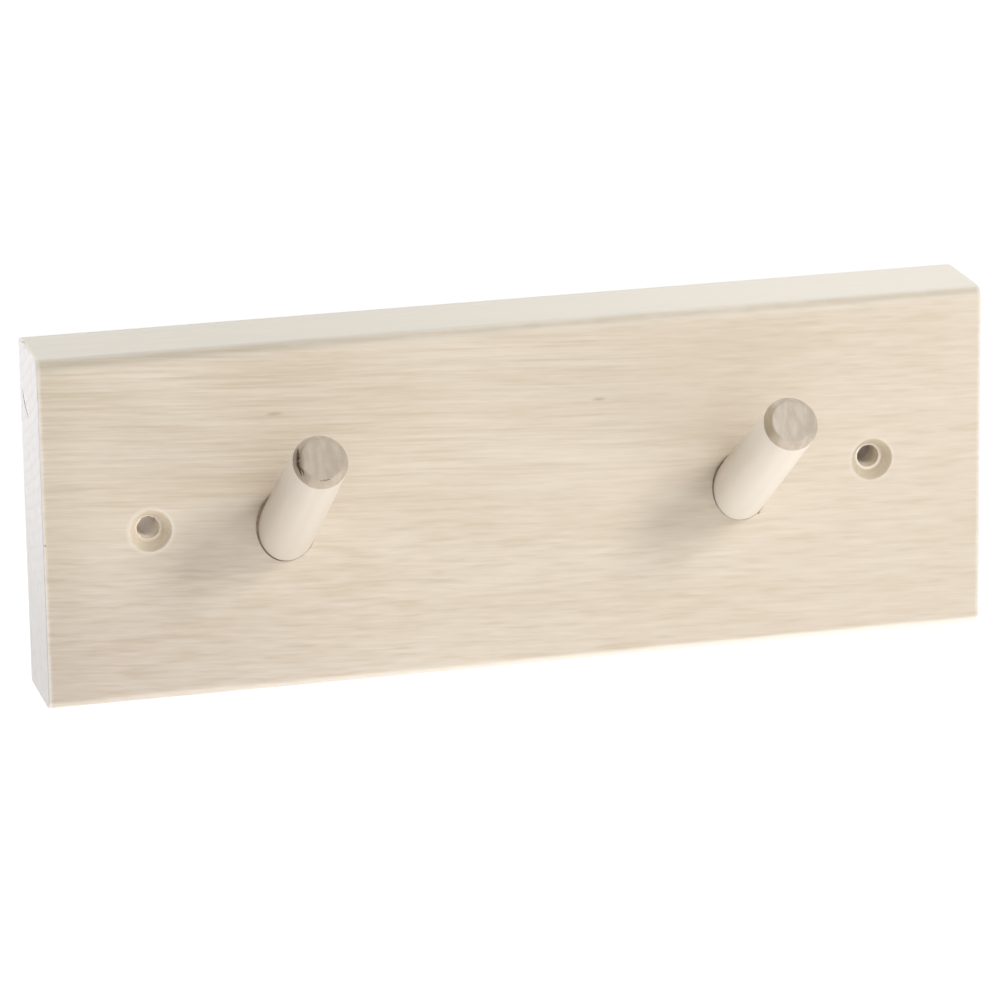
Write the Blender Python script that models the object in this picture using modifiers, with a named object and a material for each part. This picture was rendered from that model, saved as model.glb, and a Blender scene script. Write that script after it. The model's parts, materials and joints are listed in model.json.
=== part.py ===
"""A wooden wall rack: a planed board with two slanted pegs, hung by two countersunk screw holes.

Units are metres. +Z is up and +X runs along the board. The wall is the plane y = 0, and the board
stands out from it towards -Y. The origin is the middle of the board's back face.
"""

import math

import bmesh
import bpy

# The board is a planed plank, cross-cut at both ends.
BOARD_LENGTH = 0.260
BOARD_HEIGHT = 0.096
BOARD_THICKNESS = 0.027
PLANED_ROUND = 0.003
ARRIS = 0.0004
ROUND_SEGMENTS = 8

# Holes and sockets were drilled as one pattern, whose middle missed the board's middle slightly.
PATTERN_X = -0.0011

SCREW_SPACING = 0.200
SCREW_HOLE_DIAMETER = 0.0062
COUNTERSINK_DIAMETER = 0.0115
COUNTERSINK_DEPTH = 0.0042
LEFT_HOLE_Z = -0.0005
RIGHT_HOLE_Z = 0.0020

# A peg is one straight dowel: an even shank inside the board, and a slightly tapered arm outside.
PEG_SPACING = 0.126
PEG_Z = -0.0022
PEG_LENGTH = 0.075
PEG_FOOT_DIAMETER = 0.0160
PEG_TIP_DIAMETER = 0.0147
TIP_CHAMFER_IN = 0.0018
TIP_CHAMFER_BACK = 0.0022
FOOT_CHAMFER = 0.0008
LEFT_TILT = math.radians(34.7)
RIGHT_TILT = math.radians(33.4)
LEFT_ARM = 0.0535
RIGHT_ARM = 0.0557

# Each socket is bored a little wide and deep, and the peg rests low and to the right in it.
SOCKET_DIAMETER = 0.0170
SOCKET_SPARE_DEPTH = 0.0004
PEG_REST_RIGHT = 0.00014
PEG_REST_DOWN = 0.00010

CUT_PAST = 0.0010
SOCKET_CUT_PAST = 0.0150
TURNED_STEPS = 64
AXIS_MERGE = 0.00001
SMOOTH_ANGLE = math.radians(30)

BOARD_COLOUR = (0.72, 0.62, 0.50, 1.0)
LEFT_PEG_COLOUR = (0.80, 0.70, 0.57, 1.0)
RIGHT_PEG_COLOUR = (0.83, 0.73, 0.60, 1.0)
PLANED_ROUGHNESS = 0.70
SANDED_ROUGHNESS = 0.60


def clear_scene():
    for obj in list(bpy.data.objects):
        bpy.data.objects.remove(obj, do_unlink=True)


def new_collection(name):
    collection = bpy.data.collections.new(name)
    bpy.context.scene.collection.children.link(collection)
    return collection


def new_object(name, data, collection, parent=None):
    obj = bpy.data.objects.new(name, data)
    collection.objects.link(obj)
    obj.parent = parent
    return obj


def wood(name, colour, roughness):
    material = bpy.data.materials.new(name)
    material.use_nodes = True
    shader = material.node_tree.nodes["Principled BSDF"]
    shader.inputs["Base Color"].default_value = colour
    shader.inputs["Roughness"].default_value = roughness
    shader.inputs["Metallic"].default_value = 0.0
    return material


def turned(name, profile, collection, parent):
    """A solid of revolution about local Z. The profile runs from the axis at the top down its outer side."""
    mesh = bpy.data.meshes.new(name)
    points = [(radius, 0.0, height) for radius, height in profile]
    mesh.from_pydata(points, [(i, i + 1) for i in range(len(points) - 1)], [])
    obj = new_object(name, mesh, collection, parent)
    screw = obj.modifiers.new("turn", "SCREW")
    screw.axis = "Z"
    screw.steps = TURNED_STEPS
    screw.render_steps = TURNED_STEPS
    screw.use_merge_vertices = True
    screw.merge_threshold = AXIS_MERGE
    return obj


def as_cutter(obj):
    obj.hide_render = True
    obj.display_type = "WIRE"
    return obj


def is_long_front_edge(edge):
    start, end = (vert.co for vert in edge.verts)
    along_board = abs(start.x - end.x) > BOARD_LENGTH / 2
    in_front = start.y < -BOARD_THICKNESS / 2
    return along_board and in_front


def make_board(collection, parent):
    """The plank: a box with its two long front edges rounded by the planer and its arrises eased."""
    bm = bmesh.new()
    bmesh.ops.create_cube(bm, size=1.0)
    bmesh.ops.scale(bm, vec=(BOARD_LENGTH, BOARD_THICKNESS, BOARD_HEIGHT), verts=bm.verts)
    bmesh.ops.translate(bm, vec=(0.0, -BOARD_THICKNESS / 2, 0.0), verts=bm.verts)
    bmesh.ops.bevel(
        bm,
        geom=[edge for edge in bm.edges if is_long_front_edge(edge)],
        offset=PLANED_ROUND,
        segments=ROUND_SEGMENTS,
        profile=0.5,
        affect="EDGES",
        material=-1,
    )
    mesh = bpy.data.meshes.new("board")
    bm.to_mesh(mesh)
    bm.free()
    board = new_object("board", mesh, collection, parent)
    ease = board.modifiers.new("eased arrises", "BEVEL")
    ease.width = ARRIS
    ease.segments = 1
    ease.limit_method = "ANGLE"
    ease.angle_limit = math.radians(50)
    return board


def screw_hole_cutter(name, x, z, collection, parent):
    """A clearance bore with a countersink. Local Z points out of the board's front face."""
    bore = SCREW_HOLE_DIAMETER / 2
    rim = COUNTERSINK_DIAMETER / 2
    widening = (rim - bore) / COUNTERSINK_DEPTH
    through = -(BOARD_THICKNESS + CUT_PAST)
    profile = [
        (0.0, CUT_PAST),
        (rim + widening * CUT_PAST, CUT_PAST),
        (bore, -COUNTERSINK_DEPTH),
        (bore, through),
        (0.0, through),
    ]
    cutter = as_cutter(turned(name, profile, collection, parent))
    cutter.location = (x, -BOARD_THICKNESS, z)
    cutter.rotation_euler = (math.pi / 2, 0.0, 0.0)
    return cutter


def peg_line(name, x, tilt, collection, parent):
    """An empty where a peg's axis meets the front face. Its local Z runs out along the peg."""
    line = new_object(name, None, collection, parent)
    line.location = (x, -BOARD_THICKNESS, PEG_Z)
    line.rotation_euler = (math.pi / 2 - tilt, 0.0, 0.0)
    return line


def socket_cutter(name, depth, collection, line):
    radius = SOCKET_DIAMETER / 2
    profile = [(0.0, SOCKET_CUT_PAST), (radius, SOCKET_CUT_PAST), (radius, -depth), (0.0, -depth)]
    return as_cutter(turned(name, profile, collection, line))


def make_peg(name, arm, collection, line):
    """A peg whose arm, of this length, stands out of the board. The rest of it is in the socket."""
    tip = PEG_TIP_DIAMETER / 2
    foot = PEG_FOOT_DIAMETER / 2
    buried = arm - PEG_LENGTH
    profile = [
        (0.0, arm),
        (tip - TIP_CHAMFER_IN, arm),
        (tip, arm - TIP_CHAMFER_BACK),
        (foot, 0.0),
        (foot, buried + FOOT_CHAMFER),
        (foot - FOOT_CHAMFER, buried),
        (0.0, buried),
    ]
    peg = turned(name, profile, collection, line)
    peg.location = (PEG_REST_RIGHT, -PEG_REST_DOWN, 0.0)
    return peg


def cut(board, cutter):
    boolean = board.modifiers.new(cutter.name, "BOOLEAN")
    boolean.operation = "DIFFERENCE"
    boolean.solver = "EXACT"
    boolean.object = cutter


def shade(obj, material):
    obj.data.materials.append(material)
    obj.data.shade_smooth()
    obj.data.set_sharp_from_angle(angle=SMOOTH_ANGLE)


def main():
    clear_scene()
    parts = new_collection("wall_rack")
    cutters = new_collection("rack_cutters")
    rack = new_object("rack_origin", None, parts)

    board = make_board(parts, rack)
    shade(board, wood("board wood", BOARD_COLOUR, PLANED_ROUGHNESS))

    for side, sign, z in (("left", -1, LEFT_HOLE_Z), ("right", 1, RIGHT_HOLE_Z)):
        x = PATTERN_X + sign * SCREW_SPACING / 2
        cut(board, screw_hole_cutter(f"{side}_screw_hole", x, z, cutters, rack))

    pegs = (
        ("left", -1, LEFT_TILT, LEFT_ARM, LEFT_PEG_COLOUR),
        ("right", 1, RIGHT_TILT, RIGHT_ARM, RIGHT_PEG_COLOUR),
    )
    for side, sign, tilt, arm, colour in pegs:
        x = PATTERN_X + sign * PEG_SPACING / 2
        line = peg_line(f"{side}_peg_line", x, tilt, parts, rack)
        depth = PEG_LENGTH - arm + SOCKET_SPARE_DEPTH
        cut(board, socket_cutter(f"{side}_socket", depth, cutters, line))
        peg = make_peg(f"{side}_peg", arm, parts, line)
        shade(peg, wood(f"{side} peg wood", colour, SANDED_ROUGHNESS))


main()
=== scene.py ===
# %% [markdown]
# # A wooden wall rack with two slanted pegs
#
# The rack is one planed board of pale wood. Two dowel pegs are glued into slanted blind sockets, and
# two countersunk holes take the screws that hold the board to a wall.
#
# It fixes every size and place, so this lesson only adds what the eye looks for: eased edges, drilled
# rims, grain, end grain, and the small faults of real wood.

# %% Load the frame
import json
import math

import bmesh
import bpy
import numpy as np
from mathutils import Euler, Matrix, Vector, noise


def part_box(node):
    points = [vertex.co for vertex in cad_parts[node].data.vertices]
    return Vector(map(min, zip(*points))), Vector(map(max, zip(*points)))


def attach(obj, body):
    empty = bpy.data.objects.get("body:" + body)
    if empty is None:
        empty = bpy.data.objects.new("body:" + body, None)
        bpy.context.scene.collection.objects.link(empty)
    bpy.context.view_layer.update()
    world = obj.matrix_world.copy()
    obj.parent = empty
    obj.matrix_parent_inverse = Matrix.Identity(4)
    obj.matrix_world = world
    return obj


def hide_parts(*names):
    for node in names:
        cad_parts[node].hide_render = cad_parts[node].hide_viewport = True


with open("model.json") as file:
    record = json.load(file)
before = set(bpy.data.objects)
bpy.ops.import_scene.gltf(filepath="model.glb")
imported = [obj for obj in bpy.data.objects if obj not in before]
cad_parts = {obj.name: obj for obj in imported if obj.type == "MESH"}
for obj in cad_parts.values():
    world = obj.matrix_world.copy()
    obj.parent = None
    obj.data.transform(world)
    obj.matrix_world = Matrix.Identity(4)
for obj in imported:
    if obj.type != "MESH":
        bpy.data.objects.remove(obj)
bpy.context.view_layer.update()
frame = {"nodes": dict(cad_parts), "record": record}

MM = 0.001

# %% [markdown]
# ## What the frame already knows
#
# A piece that is built on guessed places slides off its neighbours. So the places are measured here:
# the board from its box, the screw holes from the openings in the record, and each peg's line from
# its own CAD mesh. A dowel is round, so the long direction of its cloud of points is its axis.

# %% Measure the board and the holes
board_low, board_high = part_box("board")
board_size = board_high - board_low
board_middle = (board_low + board_high) / 2
FRONT = board_low.y
SIDES = ("left", "right")

hole_centres = {}
for opening in frame["record"]["physics"]["openings"]:
    side, _, what = opening["name"].partition("_")
    if what == "screw_hole":
        low, high = (Vector(corner) for corner in opening["box_m"])
        hole_centres[side] = Vector(((low.x + high.x) / 2, FRONT, (low.z + high.z) / 2))
print("board, mm:", [round(side / MM, 1) for side in board_size])
print("screw holes, mm:", {side: [round(c / MM, 2) for c in at] for side, at in hole_centres.items()})


# %% Measure the pegs
SAME_POINT_DIGITS = 7


def dowel_line(name):
    """A dowel's own frame, with local Z out along it from the front face, and its two ends on that Z."""
    corners = [vert.co for vert in frame["nodes"][name].data.vertices]
    points = np.unique(np.round(corners, SAME_POINT_DIGITS), axis=0)
    middle = points.mean(axis=0)
    along = np.linalg.svd(points - middle, full_matrices=False)[2][0]
    if along[1] > 0:
        along = -along
    reach = (points - middle) @ along
    to_face = (FRONT - middle[1]) / along[1]
    along, middle = Vector(along), Vector(middle)
    right = Vector((1, 0, 0))
    up = along.cross(right)
    place = Matrix((right, up, along)).transposed().to_4x4()
    place.translation = middle + along * to_face
    return place, reach.min() - to_face, reach.max() - to_face


peg_lines = {}
for side in SIDES:
    peg_lines[side] = dowel_line(f"{side}_peg")
    place, buried, arm = peg_lines[side]
    tilt = math.degrees(math.asin(place.col[2].z))
    print(f"{side} peg: {tilt:.1f} degrees, {arm / MM:.1f} mm out, {-buried / MM:.1f} mm in the board")

# %% [markdown]
# ## Camera
#
# A long lens from 1.6 m keeps the board's edges nearly parallel, as a product picture does. The
# camera stands to the left of the rack and a little above it, so that the left end and the top show.

# %% Camera
CAMERA_PLACE = (-0.37474, -1.48845, 0.44761)
CAMERA_YAW = math.radians(14.173)
CAMERA_DIP = math.radians(16.552)
CAMERA_ROLL = math.radians(-0.880)
LENS_MM = 211.0
SENSOR_MM = 36.0
NEAREST_SEEN = 0.05
FARTHEST_SEEN = 100.0

camera = bpy.data.objects.new("camera", bpy.data.cameras.new("camera"))
bpy.context.scene.collection.objects.link(camera)
turn = Matrix.Rotation(-CAMERA_YAW, 4, "Z") @ Matrix.Rotation(math.pi / 2 - CAMERA_DIP, 4, "X")
camera.matrix_world = (
    Matrix.Translation(CAMERA_PLACE) @ turn @ Matrix.Rotation(CAMERA_ROLL, 4, "Z")
)
camera.data.lens = LENS_MM
camera.data.sensor_width = SENSOR_MM
camera.data.clip_start = NEAREST_SEEN
camera.data.clip_end = FARTHEST_SEEN
bpy.context.scene.camera = camera
print("camera to board, m:", round((camera.location - board_middle).length, 3))

# %% [markdown]
# ## Floor and light
#
# Small white-background pictures are taken over a lit table. The floor here is such a table: a white
# sheet that glows a little, far enough below to catch no shadow. It sends light up under the board.
# One soft key light stands high on the right, and its shadows fall to the lower left of the pegs.
# A fill behind the left end lights the sawn wood, a wide strip above and behind brightens the top, and
# a weak fill at the right softens the shadows. A back light shines into the open backs of the screw
# holes, as a white room would.

# %% Floor
FLOOR_DEPTH = 1.0
FLOOR_SIDE = 24.0
FLOOR_GLOW = 0.76
SKY_LIGHT = 0.30
SHEET_GREY = (0.9, 0.9, 0.9, 1)
SHEET_ROUGHNESS = 0.9
WHITE = (1, 1, 1, 1)

bm = bmesh.new()
bmesh.ops.create_grid(bm, x_segments=1, y_segments=1, size=FLOOR_SIDE / 2)
bmesh.ops.translate(bm, vec=(0, 0, -FLOOR_DEPTH), verts=bm.verts)
floor_mesh = bpy.data.meshes.new("floor")
bm.to_mesh(floor_mesh)
bm.free()
floor = bpy.data.objects.new("floor", floor_mesh)
bpy.context.scene.collection.objects.link(floor)

white_sheet = bpy.data.materials.new("white sheet")
white_sheet.use_nodes = True
sheet_shader = white_sheet.node_tree.nodes["Principled BSDF"]
sheet_shader.inputs["Base Color"].default_value = SHEET_GREY
sheet_shader.inputs["Roughness"].default_value = SHEET_ROUGHNESS
sheet_shader.inputs["Emission Color"].default_value = WHITE
sheet_shader.inputs["Emission Strength"].default_value = FLOOR_GLOW
floor_mesh.materials.append(white_sheet)
print("floor below the rack, m:", FLOOR_DEPTH)

# %% Sky: soft grey as a light, white where the camera looks past the floor
world = bpy.data.worlds.new("studio")
bpy.context.scene.world = world
world.use_nodes = True
sky = world.node_tree
sky.nodes.clear()
lit = sky.nodes.new("ShaderNodeBackground")
lit.inputs["Color"].default_value = WHITE
lit.inputs["Strength"].default_value = SKY_LIGHT
seen = sky.nodes.new("ShaderNodeBackground")
seen.inputs["Color"].default_value = WHITE
ray = sky.nodes.new("ShaderNodeLightPath")
choose = sky.nodes.new("ShaderNodeMixShader")
out = sky.nodes.new("ShaderNodeOutputWorld")
sky.links.new(ray.outputs["Is Camera Ray"], choose.inputs[0])
sky.links.new(lit.outputs[0], choose.inputs[1])
sky.links.new(seen.outputs[0], choose.inputs[2])
sky.links.new(choose.outputs[0], out.inputs["Surface"])
bpy.context.scene.view_settings.view_transform = "Standard"
print("sky strength as a light:", SKY_LIGHT)


# %% Lights
def softbox(name, place, width, height, power, target=(0, 0, 0)):
    """A rectangular area light at a place, turned to its target. Sides in metres, power in watts."""
    light = bpy.data.lights.new(name, "AREA")
    light.shape = "RECTANGLE"
    light.size = width
    light.size_y = height
    light.energy = power
    box = bpy.data.objects.new(name, light)
    bpy.context.scene.collection.objects.link(box)
    away = Vector(target) - Vector(place)
    box.matrix_world = Matrix.Translation(place) @ away.to_track_quat("-Z", "Y").to_matrix().to_4x4()


softbox("key", place=(0.52, -0.95, 0.79), width=0.30, height=0.30, power=8.1, target=(0, FRONT, 0))
softbox("left fill", place=(-0.7, 0.6, 0.45), width=0.5, height=0.5, power=4.0)
softbox("top strip", place=(0.3, 0.9, 1.5), width=1.6, height=0.6, power=16.0)
softbox("back light", place=(-0.25, 1.3, 0.28), width=0.5, height=0.4, power=6.0)
softbox("right fill", place=(0.9, -0.8, -0.1), width=0.5, height=0.5, power=1.8)

# %% [markdown]
# ## Helpers for turning and cutting
#
# A lathe and a drill both make round shapes, so one helper spins a half outline about Z. The boolean
# cut then works as the drill does. Wood tears a little where a tool leaves it, so a cutter's rim is
# roughened with smooth noise before it is used.

# %% Turning
TURNED_STEPS = 128
SEAM = 0.001 * MM
TEAR_FALL = 1.0
TEAR_GAP = 2.0
TEAR_OCTAVES = 3


def turned(profile):
    """A bmesh of revolution about Z from an outline of (radius, height) points."""
    bm = bmesh.new()
    verts = [bm.verts.new((radius, 0, height)) for radius, height in profile]
    edges = [bm.edges.new(pair) for pair in zip(verts, verts[1:])]
    bmesh.ops.spin(
        bm, geom=verts + edges, cent=(0, 0, 0), axis=(0, 0, 1), dvec=(0, 0, 0),
        angle=math.tau, steps=TURNED_STEPS, use_merge=True, use_duplicate=False,
    )
    bmesh.ops.remove_doubles(bm, verts=bm.verts, dist=SEAM)
    bmesh.ops.recalc_face_normals(bm, faces=bm.faces)
    return bm


def roughen(bm, amount, waves, low, high, seed):
    """Moves the points between two heights in or out by smooth noise, as a tool tears fibres."""
    for vert in bm.verts:
        around = Vector((vert.co.x, vert.co.y, 0))
        if low <= vert.co.z <= high and around.length > SEAM:
            direction = around.normalized()
            place = direction * waves + Vector((0, 0, vert.co.z / MM + seed))
            vert.co += direction * amount * noise.fractal(place, TEAR_FALL, TEAR_GAP, TEAR_OCTAVES)


def spaced(start, end, count):
    """Points from start up to end, without end, for a straight run that needs rows in it."""
    run = np.array(end) - start
    return [tuple(np.array(start) + run * i / count) for i in range(count)]


def rounded(corner, before, after, radius, count=4):
    """Points on a small curve that rounds one corner of an outline."""
    corner, before, after = (np.array(p, float) for p in (corner, before, after))
    enter = corner + (before - corner) / np.linalg.norm(before - corner) * radius
    leave = corner + (after - corner) / np.linalg.norm(after - corner) * radius
    steps = [i / count for i in range(count + 1)]
    return [tuple((1 - t) ** 2 * enter + 2 * t * (1 - t) * corner + t * t * leave) for t in steps]


# %% Pieces and cuts
rack = bpy.data.collections.new("rack")
bpy.context.scene.collection.children.link(rack)


def piece(name, bm):
    mesh = bpy.data.meshes.new(name)
    bm.to_mesh(mesh)
    bm.free()
    made = bpy.data.objects.new(name, mesh)
    rack.objects.link(made)
    return made


def cut_all(target, cutters):
    """Cuts every cutter from target, keeps the result as its mesh, and removes the cutters."""
    for cutter in cutters:
        boolean = target.modifiers.new(cutter.name, "BOOLEAN")
        boolean.operation = "DIFFERENCE"
        boolean.solver = "EXACT"
        boolean.object = cutter
    graph = bpy.context.evaluated_depsgraph_get()
    cut_mesh = bpy.data.meshes.new_from_object(target.evaluated_get(graph))
    target.modifiers.clear()
    target.data = cut_mesh
    cut_mesh.name = target.name
    for cutter in cutters:
        bpy.data.objects.remove(cutter)
    print(f"{target.name}: {len(cut_mesh.polygons)} faces after {len(cutters)} cuts")


# %% [markdown]
# ## The board
#
# The plank starts as a box. The planer rounds its two long front edges at 3 mm, and the cross-cut
# ends and the back only get a touch of sandpaper. Both are bevels: one with many segments, one small.

# %% Board blank
PLANED_ROUND = 3.0 * MM
PLANED_SEGMENTS = 14
ARRIS = 0.4 * MM
ARRIS_SEGMENTS = 3
SHARP = math.radians(50)


def is_long_front_edge(edge):
    start, end = (vert.co for vert in edge.verts)
    return abs(start.x - end.x) > board_size.x / 2 and start.y < board_middle.y


bm = bmesh.new()
bmesh.ops.create_cube(bm, size=1.0)
bmesh.ops.scale(bm, vec=board_size, verts=bm.verts)
bmesh.ops.translate(bm, vec=board_middle, verts=bm.verts)
bmesh.ops.bevel(
    bm, geom=[edge for edge in bm.edges if is_long_front_edge(edge)], offset=PLANED_ROUND,
    segments=PLANED_SEGMENTS, profile=0.5, affect="EDGES", material=-1,
)
bmesh.ops.bevel(
    bm, geom=[edge for edge in bm.edges if edge.calc_face_angle() > SHARP], offset=ARRIS,
    segments=ARRIS_SEGMENTS, profile=0.5, affect="EDGES", material=-1,
)
board = piece("planed_board", bm)
print("board blank:", len(board.data.polygons), "faces")

# %% [markdown]
# ## Screw holes
#
# A countersink bit leaves a smooth cone, and the drill leaves a ring of raised fibres where the cone
# meets the bore. The outline below carries both: an eased outer rim, the cone, the ring and the bore.

# %% Screw hole cutters
BORE = 3.10 * MM
RIM = 5.75 * MM
SINK_DEPTH = 4.20 * MM
RIM_EASE = 0.14 * MM
FIBRE_RING = 0.46 * MM
FIBRE_RISE = 0.26 * MM
FIBRE_WALL = 0.06 * MM
FIBRE_TOP = 0.16 * MM
CONE_START = 0.2 * MM
RIM_TORN = 0.10 * MM
RING_TORN = {"left": 0.28 * MM, "right": 0.07 * MM}
PAST = 1.0 * MM


def screw_hole(side):
    """The drill and countersink as one cutter. Local Z points out of the front face."""
    slope = SINK_DEPTH / (RIM - BORE)
    ring = BORE + FIBRE_RING
    ring_height = -SINK_DEPTH + FIBRE_RING * slope
    through = -(board_size.y + PAST)
    above = (RIM + RIM_EASE + PAST, PAST)
    mouth = (RIM + RIM_EASE * 0.4, 0)
    bottom_of_cone = (ring + FIBRE_WALL, ring_height + FIBRE_WALL * slope)
    profile = [(0, PAST), above]
    profile += rounded(mouth, above, bottom_of_cone, RIM_EASE, 3)
    profile += spaced((RIM - CONE_START, -CONE_START * slope), bottom_of_cone, 5)
    profile += [bottom_of_cone, (ring, ring_height + FIBRE_RISE * 0.8)]
    profile += [(ring - FIBRE_TOP, ring_height + FIBRE_RISE * 0.7)]
    profile += rounded((BORE, ring_height + FIBRE_RISE * 0.2), profile[-1], (BORE, through), 0.1 * MM, 3)
    profile += spaced((BORE, -SINK_DEPTH), (BORE, through), 10)
    profile += [(BORE, through), (0, through)]
    bm = turned(profile)
    seed = 3.0 + 4.0 * SIDES.index(side)
    roughen(
        bm, RING_TORN[side], waves=3.2, low=ring_height - 0.6 * MM, high=ring_height + 0.5 * MM,
        seed=seed,
    )
    roughen(bm, RIM_TORN, waves=2.4, low=-0.5 * MM, high=0.3 * MM, seed=seed + 9)
    bmesh.ops.rotate(bm, cent=(0, 0, 0), matrix=Matrix.Rotation(math.pi / 2, 3, "X"), verts=bm.verts)
    bmesh.ops.translate(bm, vec=hole_centres[side], verts=bm.verts)
    return piece(f"{side}_screw_hole", bm)


# %% [markdown]
# ## Sockets
#
# Each socket is a blind bore along its peg's line. The bore grips the peg, but the drill tore its mouth
# wider, mostly at the left, and dried glue lies in that shallow gap. The mouth is sheared so that the
# gap is as deep all round the slanted rim, which a straight step along the bore wouldn't be.

# %% Socket cutters
SOCKET_RADIUS = 8.06 * MM
SOCKET_SPARE = 0.4 * MM
SOCKET_PAST = 15.0 * MM
MOUTH_DEPTH = 0.75 * MM
MOUTH_END = 10.0 * MM
MOUTH_RADIUS = {"left": 8.38 * MM, "right": 8.18 * MM}
MOUTH_SHIFT = {"left": (-0.32 * MM, 0.24 * MM), "right": (-0.20 * MM, 0.24 * MM)}
MOUTH_LEAST = SOCKET_RADIUS + 0.02 * MM
MOUTH_TORN = 0.06 * MM


def socket(side):
    """The drill for one peg. Local Z points out along the peg from the front face."""
    place, buried, _ = peg_lines[side]
    bottom = buried - SOCKET_SPARE
    mouth = MOUTH_RADIUS[side]
    shear = math.tan(math.asin(place.col[2].z))
    profile = [(0, SOCKET_PAST)]
    profile += spaced((mouth, SOCKET_PAST), (mouth, -MOUTH_DEPTH), 40)
    profile += [(mouth, -MOUTH_DEPTH), (SOCKET_RADIUS, -MOUTH_DEPTH)]
    profile += [(SOCKET_RADIUS, -MOUTH_END), (SOCKET_RADIUS, bottom), (0, bottom)]
    bm = turned(profile)
    roughen(
        bm, MOUTH_TORN, waves=2.6, low=-0.9 * MOUTH_DEPTH, high=0.9 * SOCKET_PAST,
        seed=21.0 + SIDES.index(side),
    )
    for vert in bm.verts:
        if vert.co.z > -MOUTH_END * 0.5:
            vert.co.z += vert.co.y * shear
            if vert.co.xy.length > SOCKET_RADIUS + SEAM:
                vert.co += Vector((*MOUTH_SHIFT[side], 0))
                vert.co.xy *= max(1, MOUTH_LEAST / vert.co.xy.length)
    bmesh.ops.transform(bm, matrix=place, verts=bm.verts)
    return piece(f"{side}_socket", bm)


# %% [markdown]
# ## Cracks, chips and nicks
#
# Dried wood opens along its grain. A crack is cut here with a thin blade: a strip that follows a few
# given points, widest in the middle and closed at both ends, pushed down into the surface.

# %% Blade for cracks
BLADE_STEPS = 36
BLADE_POINT = 0.02
BLADE_FULLNESS = 0.8
BLADE_WAVES = 9


def blade(name, route, width, depth, place, wobble, seed):
    """A crack cutter along (x, y) points in mm on a face. Local Z points out of that face."""
    route = [Vector((x * MM, y * MM, 0)) for x, y in route]
    bm = bmesh.new()
    bmesh.ops.create_grid(bm, x_segments=BLADE_STEPS, y_segments=1, size=0.5)
    for vert in bm.verts:
        t = vert.co.x + 0.5
        side = math.copysign(1, vert.co.y)
        span = min(int(t * (len(route) - 1)), len(route) - 2)
        u = t * (len(route) - 1) - span
        before, start = route[max(span - 1, 0)], route[span]
        end, after = route[span + 1], route[min(span + 2, len(route) - 1)]
        at = 0.5 * (
            2 * start + (end - before) * u + (2 * before - 5 * start + 4 * end - after) * u**2
            + (3 * start - before - 3 * end + after) * u**3
        )
        ahead = (end - start).normalized()
        across = Vector((-ahead.y, ahead.x, 0))
        fat = math.sin(math.pi * min(max(t, BLADE_POINT), 1 - BLADE_POINT)) ** BLADE_FULLNESS
        shift = wobble * noise.noise(Vector((t * BLADE_WAVES, side * 3, seed)))
        vert.co = at + across * width * (side * 0.5 * fat + shift * fat)
        vert.co.z = PAST
    walls = bmesh.ops.extrude_face_region(bm, geom=list(bm.faces))["geom"]
    deep = [item for item in walls if isinstance(item, bmesh.types.BMVert)]
    bmesh.ops.translate(bm, vec=(0, 0, -PAST - depth), verts=deep)
    bmesh.ops.recalc_face_normals(bm, faces=bm.faces)
    bmesh.ops.transform(bm, matrix=place, verts=bm.verts)
    return piece(name, bm)


# %% [markdown]
# ## Faults on the board
#
# The sawn left end has dried out and opened in one hairline. Edges also lose small chips: one at the
# upper corner above the hairline, a nick in the left arris, and one where the drill for the right peg
# left the wood. A rough ball that bites into an edge leaves the torn hollow of a chip.

# %% Hairline and chips
HAIRLINE = ((3.6, 35.2), (4.9, 33.4), (6.2, 32.0), (8.6, 30.4), (13.0, 28.3))
HAIRLINE_WIDTH = 0.62 * MM
HAIRLINE_DEPTH = 0.5 * MM
# Each chip: its centre, its three radii and its own noise.
CHIPS = {
    "corner_chip": (
        (board_low.x, board_high.y - 6 * MM, board_high.z), (0.7 * MM, 1.8 * MM, 0.35 * MM), 2.0
    ),
    "arris_nick": ((board_low.x, FRONT, -2.1 * MM), (0.9 * MM, 0.5 * MM, 0.35 * MM), 7.0),
    "foot_chip": ((66.6 * MM, FRONT, -10.35 * MM), (0.6 * MM, 0.45 * MM, 0.35 * MM), 4.0),
}
CHIP_ROUGHNESS = 0.35
CHIP_WAVES = 1.7

left_end = Matrix(((0, 0, -1), (-1, 0, 0), (0, 1, 0))).to_4x4()
left_end.translation = (board_low.x, 0, 0)


def chip(name, centre, radii, seed):
    """A small torn hollow: a rough ball that takes a bite out of an edge."""
    bm = bmesh.new()
    bmesh.ops.create_icosphere(bm, subdivisions=3, radius=1.0)
    for vert in bm.verts:
        vert.co *= 1 + CHIP_ROUGHNESS * noise.noise(vert.co * CHIP_WAVES + Vector((seed, 0, 0)))
    bmesh.ops.scale(bm, vec=Vector(radii), verts=bm.verts)
    bmesh.ops.translate(bm, vec=Vector(centre), verts=bm.verts)
    return piece(name, bm)


hairline = blade("hairline", HAIRLINE, HAIRLINE_WIDTH, HAIRLINE_DEPTH, left_end, wobble=0.4, seed=5.0)
chips = [chip(name, *shape) for name, shape in CHIPS.items()]
print("faults on the board:", [made.name for made in [hairline, *chips]])

# %% Drill and mark the board
drills = [screw_hole(side) for side in SIDES] + [socket(side) for side in SIDES]
cut_all(board, [*drills, hairline, *chips])

# %% [markdown]
# ## The pegs
#
# A peg is a dowel with an even shank inside the board and a slight taper outside. The tip's chamfer
# was sanded by hand, so its edges are soft and its width wanders.

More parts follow.
